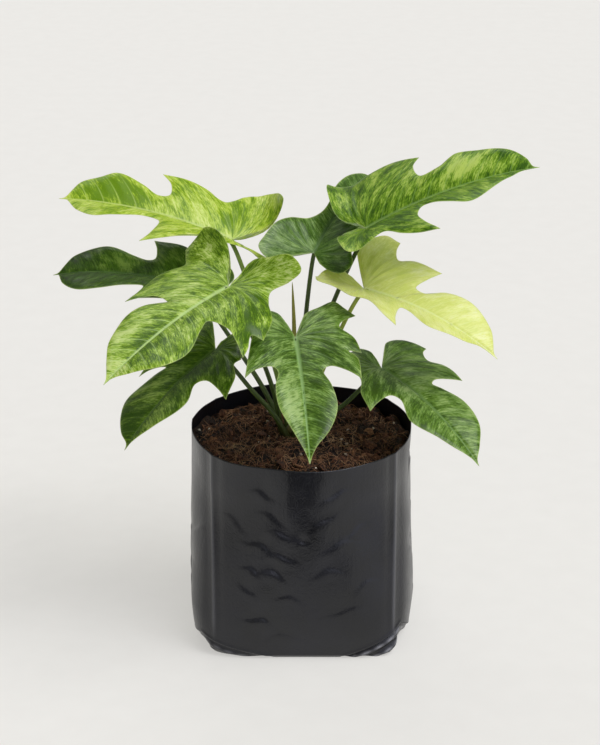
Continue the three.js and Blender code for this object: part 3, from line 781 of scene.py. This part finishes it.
# %% New leaf
SPEAR_FOOT, SPEAR_TIP = np.array([-5, 3, 133.0]), np.array([-6, 18, 228.0])
spear_path = catmull([SPEAR_FOOT, SPEAR_FOOT + (0.3, 3.6, 30), SPEAR_FOOT + (0.2, 9.2, 66), SPEAR_TIP], 16)
t = np.linspace(0, 1, len(spear_path))
spear_r = 2.35 * np.clip(1 - t, 0, 1) ** 0.62 * (0.75 + 0.4 * smoothstep(0, 0.45, t)) + 0.12


def spill(a, t):
    wound = (a / (2 * math.pi) - 0.9 * t) % 1.0
    return 1.0 - 0.16 * wound


spear_skin = stalk_skin("rolled_leaf_sheath", "#6a6a1c", "#8c8a34", "#a8a450", "#74762a")
points, faces, marks = sweep(spear_path, spear_r, 28, spill)
new_piece("rolled_leaf", points, faces, spear_skin, ["new_leaf"],
          marks={"stalk": marks})
print(f"    {np.linalg.norm(SPEAR_TIP - SPEAR_FOOT):.0f} mm from foot to tip")

# %% [markdown]
# ## The stem base
# Between the stalks stands a short stub of stem, ringed with the scars of old leaves. It is a ring
# swept upwards, with each ring's size rising and falling at the scars.

# %% Stem base
STUB_LOW, STUB_TOP = 100.0, 136.0
levels = np.linspace(STUB_LOW, STUB_TOP, 34)
path = [(*CROWN, level) for level in levels]
rise = (levels - STUB_LOW) / (STUB_TOP - STUB_LOW)
stub_r = 5.9 * np.sqrt(np.clip(1 - smoothstep(0.8, 1.02, rise), 0.02, 1)) + 0.35 * np.sin(rise * 38)
points, faces, marks = sweep(path, stub_r, 24, lambda a, t: 1 + 0.05 * math.sin(3 * a + 9 * t),
                             start=(1, 0, 0))
bark = stalk_skin("scarred_stem_bark", "#3e3a1c", "#6d6636", "#8f8650", "#4a3a22")
new_piece("stem_stub", points, faces, bark, ["stem_base"], marks={"stalk": marks})

# %% [markdown]
# ## The nursery bag
# The bag is a tube of black polythene film, blown, laid flat and folded into gussets, with a welded
# bottom. Filled with coir it rounds out, but the gusset folds stay as upright creases, the mouth keeps soft
# corners, and the film sags into shallow crescent dents. The bottom corners tuck under as diagonal folds.
# Cloth simulation would need the whole filling process to get there. The film is instead a
# lofted shell whose radius is a formula, with each crease, dent and fold added in millimetres.

# %% Bag shape
BAG_HEIGHT, BAG_FOOT, BAG_BELLY, BELLY_AT = 135.0, 70.0, 73.5, 30.0
FILM_MM = 0.35  # drawn thicker than real film, so that the mouth's edge shows
FAR = 99.0  # mm: out of a crease's reach
MOUTH_POWER, FOOT_POWER, POWER_REACH = 2.0, 5.0, 110.0  # 2 is round and 5 nearly square
CREASES = [(-57, -1, 1.0), (60, -1, 1.0), (-58, 1, 0.8), (58, 1, 0.8)]  # x in mm, front or back, strength
SOFT_CORNERS = [(171, 0.8), (5, 0.8), (-97, 0.3), (80, 0.5), (112, 0.5)]  # bearing, strength, at the mouth
DENTS = [  # front: mm along the face, height, half length, half height, tilt in degrees, depth
    (-25, 119, 8, 3.4, -16, 0.9), (-19, 103, 9, 3.0, -24, 0.6), (-12, 92, 9, 3.0, -14, 0.8),
    (-27, 83, 8, 2.6, -20, 0.8), (-12, 76, 8, 2.6, -14, 0.8), (-21, 65, 9, 3.2, -12, 1.2),
    (-33, 66, 6, 2.2, -26, 0.6), (17, 66, 9, 3.0, 10, 0.7), (22, 84, 9, 3.0, 20, 0.6),
    (21, 119, 8, 3.0, 24, 0.9), (13, 101, 10, 3.4, 34, 0.6), (-28, 31, 9, 3.4, -14, 1.1),
    (-36, 52, 7, 2.4, -30, 0.5), (1, 86, 3, 1.6, 6, 0.6), (28, 38, 12, 3.0, 12, 0.4),
    (-8, 47, 9, 2.8, -10, 0.4), (42, 56, 8, 2.6, 26, 0.4), (-44, 96, 8, 2.8, -30, 0.4),
    (-14, 19, 10, 3.0, 6, 0.5), (34, 92, 8, 2.6, 30, 0.4),
]
rng = np.random.RandomState(7)
SWELLS = [(rng.randint(2, 9), rng.uniform(-3, 3), rng.uniform(0, 6.3), rng.uniform(0.08, 0.28))
          for _ in range(14)]


def bag_radius(a, z):
    """The plain filled shape: a squared foot that rounds towards the mouth."""
    half = np.where(z < BELLY_AT, BAG_FOOT + (BAG_BELLY - BAG_FOOT) * np.sin(z / BELLY_AT * math.pi / 2),
                    BAG_BELLY + (BAG_HALF - BAG_BELLY) * (z - BELLY_AT) / (BAG_HEIGHT - BELLY_AT))
    p = FOOT_POWER + (MOUTH_POWER - FOOT_POWER) * smoothstep(0, POWER_REACH, z)
    return half / (np.abs(np.cos(a)) ** p + np.abs(np.sin(a)) ** p) ** (1 / p)

# %% Distances on the film
def turn_gap(a, bearing):
    """Angle from a bearing, in degrees, wrapped to -180..180."""
    return (np.degrees(a) - bearing + 180) % 360 - 180


def arc_gap(a, z, bearing):
    """Distance along the film from a bearing, in mm."""
    return turn_gap(a, bearing) * math.pi / 180 * bag_radius(a, z)


def crease_gap(a, z, x0, end):
    """Distance across the film from the crease at x0 on the front (end -1) or back (end 1), in mm."""
    return np.where(end * np.sin(a) > 0, np.abs(bag_radius(a, z) * np.cos(a) - x0), FAR)


print("the foot's corners stand", round(float(bag_radius(math.pi / 4, 0.0)), 1), "mm from the middle")

# %% Creases and soft corners
def film_relief(a, z):
    """How far creases, soft corners and swells stand in or out of the plain shape, in mm."""
    relief = np.zeros_like(a * z)
    up = z / BAG_HEIGHT
    for x0, end, strength in CREASES:
        gap = crease_gap(a, z, x0, end) * 1.25
        relief += strength * (0.7 * np.exp(-gap / 1.0) - 0.4 * np.exp(-((gap - 5.0) / 3.2) ** 2)) \
            * smoothstep(8, 30, z)
    for bearing, strength in SOFT_CORNERS:
        gap = np.abs(arc_gap(a, z, bearing))
        relief += strength * (np.exp(-gap / 6) - 0.35) * smoothstep(75, 135, z) * np.exp(-(gap / 26) ** 2)
    for waves, climb, phase, size in SWELLS:
        relief += size * np.sin(waves * a + climb * up * 3.1 + phase) * smoothstep(0, 25, z) \
            * (1 - 0.5 * smoothstep(110, 135, z))
    return relief

# %% [markdown]
# ### Dents
# Where the coir has settled, the film falls into small crescents with a crisp lower lip. Noise would put
# the same texture everywhere, so each dent on the front has its own place, and seeded ones mark the rest.

# %% Dents
def dent_relief(a, z, face, dents):
    """Crescent dents in one side of the bag: a soft hollow with a crisper lower lip."""
    x = arc_gap(a, z, face)
    near = np.abs(turn_gap(a, face)) < 60
    relief = np.zeros_like(x)
    for along, height, long, tall, tilt, depth in dents:
        t = math.radians(tilt)
        p = ((x - along) * math.cos(t) + (z - height) * math.sin(t)) / long
        q = (-(x - along) * math.sin(t) + (z - height) * math.cos(t)) / tall + 0.5 * p ** 2
        q += 0.35 * np.sin(2.7 * p + along)  # a wavering lip
        hollow = np.where(q > 0, np.exp(-(q / 2.8) ** 2), np.exp(-(q / 0.6) ** 2))
        lip = 0.2 * np.exp(-((q + 1.5) / 1.1) ** 2)
        relief += 1.1 * depth * np.exp(-p ** 2) * (lip - hollow)
    return np.where(near, relief, 0)

# %% [markdown]
# ### Folded bottom corners
# A flat tube can only get a square foot by tucking its corners under. Each tuck leaves a diagonal line,
# a step inwards under it, and a ridge or two of spare film that stands out beside the corner.

# %% Folded bottom corners
def corner_fold(a, z, bearing, reach, height, step, run, front, ridges):
    """A tucked bottom corner. Under a diagonal line the film steps in, and then runs down to the floor:
    outwards on the front or back face (`front` says on which hand that face lies), inwards on the side."""
    x = arc_gap(a, z, bearing)
    below = height * (1 - np.abs(x) / reach) - z
    under = np.maximum(below, 0)
    side = smoothstep(-7, 7, -x * front)
    fold = (0.7 * np.exp(-((below + 0.8) / 1.1) ** 2) - step * smoothstep(0, 1.6, below)) * (1 - 0.8 * side)
    fold += under * (run * (1 - side) - 0.55 * side)
    for depth, size, width in ridges:
        fold += size * (1 - 0.6 * side) * np.exp(-((under - depth) / width) ** 2) * smoothstep(0, 2, under)
    return fold * smoothstep(0, 5, reach - np.abs(x))


CORNERS = [  # bearing, reach, height, step in mm, run, hand of the face,
    # ridges: mm below the fold, size, width
    (-137, 42, 14, 1.8, 0.02, 1, [(5.5, 1.3, 1.8)]),
    (-43, 36, 21, 2.4, 0.16, -1, [(4.8, 2.4, 2.1), (11.6, 2.4, 2.2)]),
    (45, 34, 15, 1.6, 0.05, 1, [(5.0, 0.8, 1.5)]), (135, 34, 15, 1.6, 0.05, -1, [(6.0, 0.8, 1.5)]),
]


def crease_grey_and_glint(a, z):
    """Where sharp folds turn the black film grey, from 0 to 1: stretched film goes grey, and the same grey
    is a painted highlight for the glints along the crease lines and the corner ridges.
    """
    grey = np.zeros_like(a * z)
    for x0, end, strength in CREASES:
        gap = crease_gap(a, z, x0, end)
        grey += 0.3 * strength * np.exp(-(gap / 0.8) ** 2) * smoothstep(8, 30, z)
    for bearing, reach, height, _, _, front, ridges in CORNERS:
        x = arc_gap(a, z, bearing)
        below = height * (1 - np.abs(x) / reach) - z
        for depth, size, width in ridges:
            grey_glint_share = 0.4 * size * np.exp(-((below - depth + 0.7) / 0.7) ** 2) * smoothstep(-14, -4, x * front)
            grey += grey_glint_share * smoothstep(2, 9, reach - np.abs(x)) * (0.6 + 0.4 * np.sin(0.9 * x + 2 * depth))
    return np.clip(grey, 0, 1)

# %% The whole film
rng = np.random.RandomState(23)
SIDE_DENTS = {face: [(rng.uniform(-38, 38), rng.uniform(22, 118), rng.uniform(6, 12), rng.uniform(1.8, 3),
                      rng.uniform(-28, 28), rng.uniform(0.3, 0.9)) for _ in range(13)]
              for face in (0, 90, 180)}


def film_point(a, z, inward):
    """The film's points in mm at angles a and height z, moved inwards by its thickness or not."""
    relief = film_relief(a, z) + dent_relief(a, z, -90, DENTS)
    for face, dents in SIDE_DENTS.items():
        relief += dent_relief(a, z, face, dents)
    for corner in CORNERS:
        relief += corner_fold(a, z, *corner)
    tuck = 1.6 * (1 - smoothstep(0, 2.5, z))  # the bottom edge rounds under
    r = bag_radius(a, z) + relief - tuck - inward
    rim = 0.5 * np.sin(3 * a + 0.6) + 0.35 * np.sin(7 * a + 2.0)
    lift = rim * smoothstep(118, 135, z) - 0.6
    return np.stack([r * np.cos(a), r * np.sin(a), np.maximum(z + lift * smoothstep(100, 135, z), 0)], -1)

# %% Build the film
AROUND, UPRIGHT = 540, 150
FOLD_ROWS, FOLD_TOP = 39, 22.0  # rows under this height are closer, for the folded corners
INSIDE_DOWN_TO, INSIDE_ROWS = 108.0, 29  # mm: under this the coir hides the film's inside face
HIDDEN_GAP = 1.2  # mm that the hidden inside face stands further in
angles = (np.arange(AROUND) + 0.5) * 2 * math.pi / AROUND


def film_ring(z, inward):
    return film_point(angles, np.full(AROUND, z), inward)


heights = np.r_[np.linspace(0, FOLD_TOP, FOLD_ROWS + 1)[:-1], np.linspace(FOLD_TOP, BAG_HEIGHT, UPRIGHT)]
inner = np.r_[heights[heights > INSIDE_DOWN_TO][::-1],
              np.linspace(INSIDE_DOWN_TO, 0, INSIDE_ROWS + 1)[:-1]]
grid = [film_ring(z, 0.0) for z in heights]
grid += [film_ring(z, FILM_MM + HIDDEN_GAP * (z <= INSIDE_DOWN_TO)) for z in inner]
grid.append(film_ring(0.0, FILM_MM) + (0, 0, FILM_MM))
points = np.vstack([*grid, [(0, 0, 0)], [(0, 0, FILM_MM)]])
faces = tube_faces(len(grid), AROUND)
# the outer face: grey of stretched film, and painted highlights along the creases and the corner ridges
grey = np.zeros(len(points))
grey[:len(heights) * AROUND] = np.concatenate([crease_grey_and_glint(angles, np.full(AROUND, z)) for z in heights])
print(f"film: {len(grid)} rings of {AROUND} points")

# %% [markdown]
# ### Film finish: black polythene, blown thin
# Low-density polythene film, IOR about 1.51, coloured with carbon black. Blowing leaves a satin skin:
# the reflection of a pale room is spread wide, and stretched by faint upright draw lines.

# %% Film material
film, tree = new_material("black_polythene_film_blown")
place = add(tree, "TexCoord").outputs["Object"]
wide = add(tree, "TexNoise", {"Vector": place, "Scale": 1 / (22 * MM), "Detail": 3.0})
fine = add(tree, "TexNoise", {"Vector": place, "Scale": 1 / (3.5 * MM), "Detail": 3.0})
upright = add(tree, "Mapping", {"Vector": place, "Scale": (1, 1, 0.08)})
drawn = add(tree, "TexNoise", {"Vector": upright, "Scale": 1 / (2.2 * MM), "Detail": 2.0})
crinkle = add(tree, "TexNoise", {"Vector": place, "Scale": 1 / (9 * MM), "Detail": 2.0, "Distortion": 0.6})
crease = add(tree, "Math", {0: crinkle, 1: 0.05}, operation="PINGPONG")
height = add(tree, "Math", {0: fine, 1: drawn}, operation="ADD")
height = add(tree, "Math", {0: crease, 1: 9.0, 2: height}, operation="MULTIPLY_ADD")
bump = add(tree, "Bump", {"Height": height, "Strength": 0.4, "Distance": 0.00025})
rough = add(tree, "MapRange", {"Value": wide, "From Min": 0.3, "From Max": 0.7,
                               "To Min": 0.28, "To Max": 0.38})
# a sharp fold stretches the film, and stretched polythene turns grey; the same grey is also a painted
# highlight for the glints along the folds
base = add(tree, "ValToRGB", {"Fac": wide}, stops=[(0.3, "#0a0b10"), (0.7, "#12131b")])
grey_glint_share = add(tree, "Attribute", attribute_name="film_grey_and_glint").outputs["Fac"]
tone = add(tree, "Mix", {0: grey_glint_share, 6: base, 7: "#8c8c90"}, data_type="RGBA")
shade = add(tree, "BsdfPrincipled", {"Base Color": tone, "IOR": 1.51, "Roughness": rough, "Normal": bump})
add(tree, "OutputMaterial", {"Surface": shade})
new_piece("nursery_bag", points, faces, film, ["grow_bag"], marks={"film_grey_and_glint": grey})
print(f"    mouth {2 * BAG_HALF:.0f} mm wide, {BAG_HEIGHT:.0f} mm high")

# %% [markdown]
# ## The coir
# The bag is filled with coir: ground husk, loose fibres that stand up in loops, flat chips, and a little
# white perlite. A bump map alone looks painted on at this distance, so the surface is a rough mound, and the
# fibres, chips and perlite are thousands of small real shapes, scattered with a fixed seed.

# %% Coir mound
FIELD = np.random.RandomState(41)
WAVES = [(FIELD.uniform(0.05, 0.9), FIELD.uniform(0, 6.3), FIELD.uniform(0, 6.3)) for _ in range(46)]


def crumb(x, y):
    """Rough height of the coir, in mm: many crossed waves, from 7 mm to 120 mm long."""
    total = np.zeros_like(np.asarray(x, float))
    for k, heading, phase in WAVES:
        total += np.sin(k * (x * math.cos(heading) + y * math.sin(heading)) + phase) * 0.16 / (0.35 + k)
    return total


def coir_height(x, y):
    r = np.hypot(x, y) / BAG_HALF
    rim = smoothstep(0.82, 1.0, r)
    front = 3.8 * smoothstep(-0.75, 0.4, -y / BAG_HALF)  # mm that the fill climbs at the film
    sides = 2.2 * smoothstep(0.35, 1.0, np.abs(x) / BAG_HALF)
    return soil_height(x, y) + 1.3 * crumb(x, y) + rim * (front + sides - 0.4)


RINGS, SPOKES = 120, 300
CLEAR = 0.5  # the coir's edge keeps this far inside the film
WALL_GAP, FOOT_GAP, FOOT_TOP = 5.0, 14.0, 20  # mm inside the film: its wall, and under 20 mm
COIR_FOOT = 1.8  # mm over the floor
spoke = np.arange(SPOKES) * 2 * math.pi / SPOKES
jitter = np.random.RandomState(5)
film_edge = np.min([np.hypot(*film_point(spoke, np.full(SPOKES, z), FILM_MM)[:, :2].T)
                    for z in (119.0, 122.0, 125.0, 128.0)], axis=0) - CLEAR
grid = []
for t in np.sqrt(np.linspace(0, 1, RINGS))[1:]:
    x, y = film_edge * t * np.cos(spoke), film_edge * t * np.sin(spoke)
    z = coir_height(x, y) + jitter.normal(0, 0.28, SPOKES) * (t < 0.995)
    grid.append(np.stack([x, y, z], 1))
for z in (108, 80, 55, 32, 21, 16, 6, COIR_FOOT):
    r = bag_radius(spoke, np.full(SPOKES, float(z))) - (FOOT_GAP if z < FOOT_TOP else WALL_GAP)
    grid.append(np.stack([r * np.cos(spoke), r * np.sin(spoke), np.full(SPOKES, z)], 1))
points = np.vstack([*grid, [(0, 0, float(coir_height(0.0, 0.0)))], [(0, 0, COIR_FOOT)]])
faces = tube_faces(len(grid), SPOKES, downwards=True)
print("coir:", len(grid), "rings")

# %% [markdown]
# ### Coir finish: ground coconut husk, washed and moist
# Moist husk is a deep red brown, and matt. Its tone follows the grain of its bumps, so it is painted nearly
# black
# where the grain sinks: painted shade in the gaps. Perlite is volcanic glass, popped to white foam.

# %% Coir materials
def husk(name, dark, mid, light, grain_mm, rough):
    """Matt husk: IOR 1.5, mottled at random at the size of its grains, and painted darker where the grain
    sinks, as painted shade in its pits.
    """
    made, tree = new_material(name)
    place = add(tree, "TexCoord").outputs["Object"]
    grain = add(tree, "TexNoise", {"Vector": place, "Scale": 1 / (grain_mm * MM), "Detail": 4.0,
                                   "Roughness": 0.7})
    patch = add(tree, "TexNoise", {"Vector": place, "Scale": 1 / (9 * grain_mm * MM), "Detail": 2.0})
    both = add(tree, "Math", {0: grain, 1: patch}, operation="ADD")
    half = add(tree, "Math", {0: both, 1: 0.5}, operation="MULTIPLY")
    # half of the tone comes from the grain that sinks the bumps: painted shade in the low spots
    tone = add(tree, "ValToRGB", {"Fac": half}, stops=[(0.38, dark), (0.52, mid), (0.68, light)])
    bump = add(tree, "Bump", {"Height": grain, "Strength": 0.8, "Distance": 0.0006})
    shade = add(tree, "BsdfPrincipled", {"Base Color": tone, "Roughness": rough, "IOR": 1.5, "Normal": bump})
    add(tree, "OutputMaterial", {"Surface": shade})
    return made


coir_crumb = husk("coir_ground_husk", "#0e0603", "#29160c", "#683f26", 1.1, 0.92)
coir_fibre = husk("coir_fibre_combed", "#4a2c18", "#8e6444", "#c8a47c", 2.5, 0.75)
coir_chip = husk("coir_chip_cut", "#1e0f08", "#5a3520", "#a2744e", 1.6, 0.88)
perlite = husk("perlite_popped_glass", "#a8937c", "#d9c9b6", "#efe6da", 0.8, 0.85)
new_piece("coir_mound", points, faces, coir_crumb, ["growing_medium"])

# %% Loose husk: chips, perlite and crumbs
STEM_CLEAR = 9  # mm round the stem base that stay free of loose husk


def scatter(rng, count, reach=0.985):
    """Places over the coir, even by area, in mm."""
    a = rng.uniform(0, 2 * math.pi, count)
    r = np.sqrt(rng.uniform(0, 1, count)) * reach
    wide = bag_radius(a, np.full(count, SOIL_EDGE)) - 2.2
    x, y = wide * r * np.cos(a), wide * r * np.sin(a)
    keep = np.hypot(x - CROWN[0], y - CROWN[1]) > STEM_CLEAR
    return x[keep], y[keep]


def random_turn(rng):
    """A random rotation matrix."""
    w, x, y, z = unit(rng.normal(size=4))
    return np.array([[1 - 2 * (y * y + z * z), 2 * (x * y - z * w), 2 * (x * z + y * w)],
                     [2 * (x * y + z * w), 1 - 2 * (x * x + z * z), 2 * (y * z - x * w)],
                     [2 * (x * z - y * w), 2 * (y * z + x * w), 1 - 2 * (x * x + y * y)]])


BALL = bmesh.new()
bmesh.ops.create_icosphere(BALL, subdivisions=2, radius=1.0)
BALL_POINTS = np.array([tuple(v.co) for v in BALL.verts])
BALL_FACES = np.array([[v.index for v in f.verts] for f in BALL.faces])
BALL.free()


def lumps(name, rng, count, sizes, flatness, material, rise):
    """Many knobbly lumps in one mesh. sizes are the smallest and largest half length in mm, and rise
    is how far a lump's middle stands over the coir, as a share of its half length."""
    points, faces = [], []
    for x, y in zip(*scatter(rng, count)):
        size = rng.uniform(*sizes)
        stretch = np.array([1.0, rng.uniform(0.45, 0.9), rng.uniform(*flatness)]) * size
        knob = 1 + 0.22 * rng.normal(size=len(BALL_POINTS))
        lump = (BALL_POINTS * knob[:, None] * stretch) @ random_turn(rng).T
        faces.extend((BALL_FACES + len(BALL_POINTS) * len(points)).tolist())
        points.append(lump + (x, y, float(coir_height(x, y)) + size * rise))
    new_piece(name, np.vstack(points), faces, material, [], smooth=False)
    print(f"    {len(points)} lumps")


lumps("coir_crumbs", np.random.RandomState(11), 2600, (0.5, 1.5), (0.4, 0.8), coir_crumb, 0.15)
lumps("coir_chips", np.random.RandomState(12), 420, (1.2, 3.4), (0.14, 0.3), coir_chip, 0.35)
lumps("perlite_grains", np.random.RandomState(13), 60, (0.5, 1.3), (0.6, 0.9), perlite, 0.5)

# %% Loose fibres
FIBRES, FIBRE_SIDES, FIBRE_POINTS = 1500, 4, 9
rng = np.random.RandomState(14)
points, faces = [], []
for x, y in zip(*scatter(rng, FIBRES, 0.96)):
    length, thick = rng.uniform(6, 26) * rng.uniform(0.5, 1), rng.uniform(0.08, 0.2)
    heading, curl = rng.uniform(0, 2 * math.pi), rng.normal(0, 0.16)
    hump = rng.uniform(0.4, 3.2)
    path = []
    for k in range(FIBRE_POINTS):
        over = 0.2 + hump * math.sin(math.pi * k / (FIBRE_POINTS - 1))
        path.append((x, y, float(coir_height(x, y)) + over))
        heading += curl + rng.normal(0, 0.12)
        x += math.cos(heading) * length / FIBRE_POINTS
        y += math.sin(heading) * length / FIBRE_POINTS
    path = np.array(path)
    film_gap = bag_radius(np.arctan2(path[:, 1], path[:, 0]), np.full(FIBRE_POINTS, SOIL_EDGE)) - 1.8
    if (np.hypot(path[:, 0], path[:, 1]) > film_gap).any():
        continue
    fibre, loops, _ = sweep(path, np.full(FIBRE_POINTS, thick), FIBRE_SIDES)
    faces.extend([[c + len(points) for c in loop] for loop in loops])
    points.extend(fibre)
new_piece("coir_fibres", points, faces, coir_fibre, [])
print("   ", len(points) // (FIBRE_POINTS * FIBRE_SIDES + 2), "fibres")

# %% [markdown]
# ## Finish
# The size of the model is printed in millimetres.

# %% Size and end
low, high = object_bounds()
print("visual box in mm:", [round(c / MM, 1) for c in (*low, *high)])
